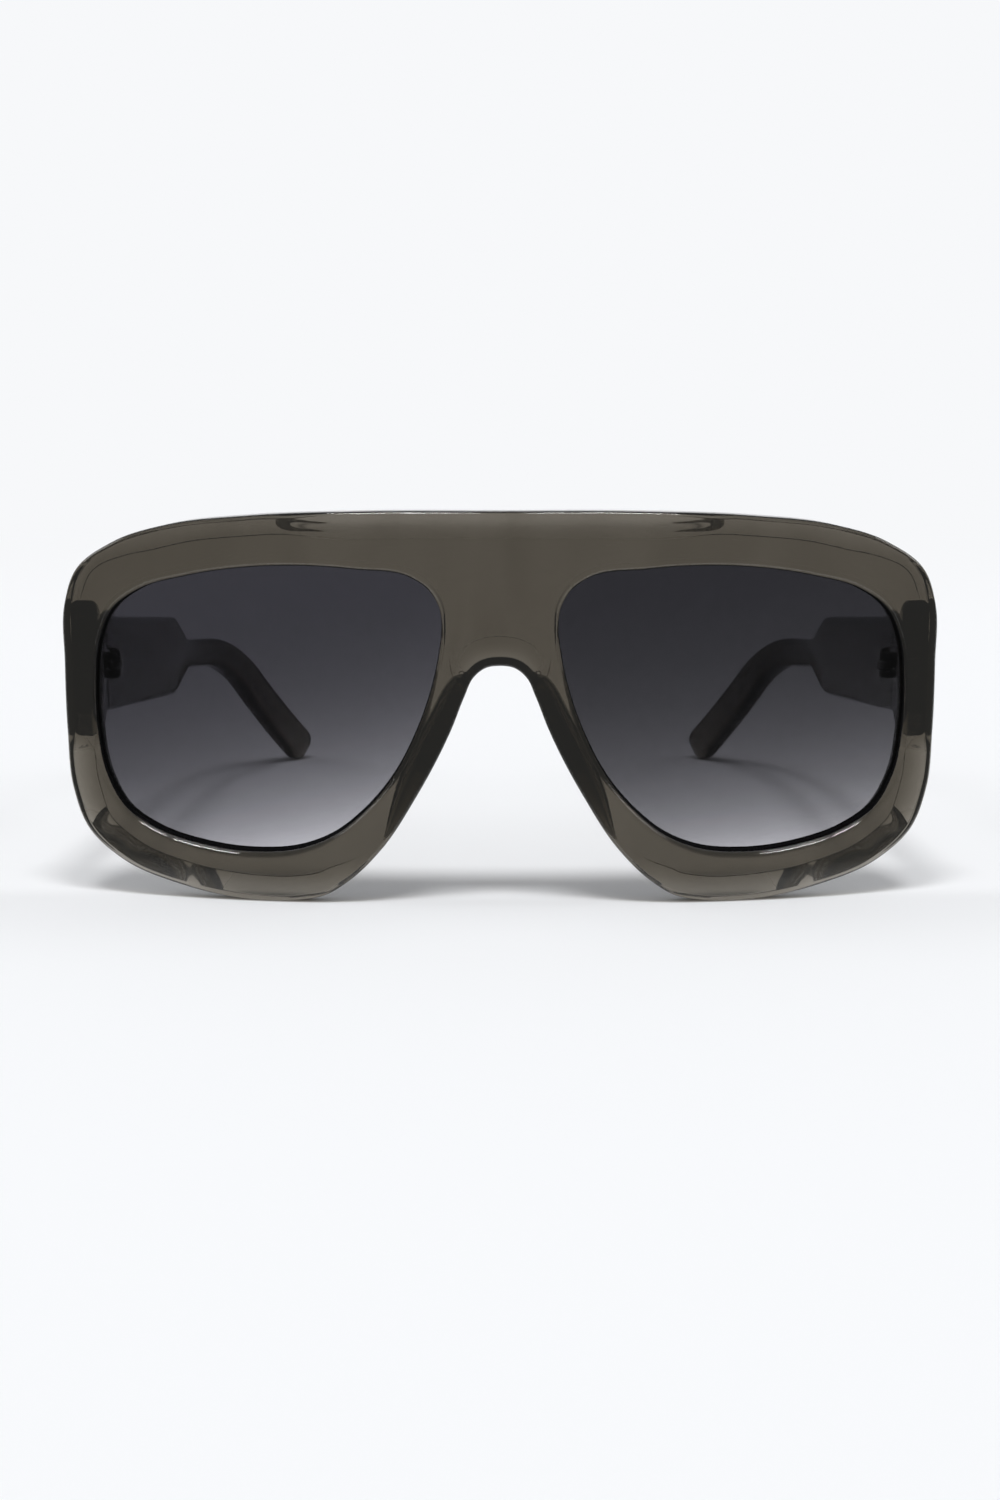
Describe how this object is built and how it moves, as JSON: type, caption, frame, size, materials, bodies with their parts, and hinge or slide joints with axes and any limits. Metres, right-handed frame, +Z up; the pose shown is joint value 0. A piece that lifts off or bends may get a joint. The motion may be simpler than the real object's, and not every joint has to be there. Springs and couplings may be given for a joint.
{
  "type": "oversized square sunglasses",
  "caption": "Oversized square sunglasses with a bent smoky acetate front, gradient tinted lenses and folding temples on screwed knuckle hinges.",
  "frame": {"origin": "on the surface that the frame stands on, below the middle of its box", "axes": "+X towards the wearer's left, -Y out of the front of the lenses, +Y towards the temple tips, +Z up"},
  "size_m": [0.1486, 0.1464, 0.0665],
  "materials": {
    "acetate": "polished translucent smoke grey acetate",
    "lens": "polished gradient tinted lens plastic, darker towards the brow",
    "hinge_steel": "fine turned steel",
    "wire_steel": "drawn wire"
  },
  "bodies": {
    "front": {"front_frame": "acetate", "lens_left": "lens", "lens_right": "lens", "nose_pad_left": "acetate", "nose_pad_right": "acetate", "endpiece_left": "acetate", "endpiece_right": "acetate", "hinge_front_leaf_left": "hinge_steel", "hinge_front_leaf_right": "hinge_steel", "hinge_screw_left": "hinge_steel", "hinge_screw_right": "hinge_steel"},
    "left_temple": {"temple_left": "acetate", "core_wire_left": "wire_steel", "hinge_temple_leaf_left": "hinge_steel"},
    "right_temple": {"temple_right": "acetate", "core_wire_right": "wire_steel", "hinge_temple_leaf_right": "hinge_steel"}
  },
  "joints": [
    {"name": "left_fold", "type": "hinge", "parent": "front", "child": "left_temple", "pos_m": [0.06627, -0.05447, 0.0385], "axis": [0, 0, 1], "range_deg": [0, 81]},
    {"name": "right_fold", "type": "hinge", "parent": "front", "child": "right_temple", "pos_m": [-0.06627, -0.05447, 0.0385], "axis": [0, 0, 1], "range_deg": [-71, 0]}
  ]
}
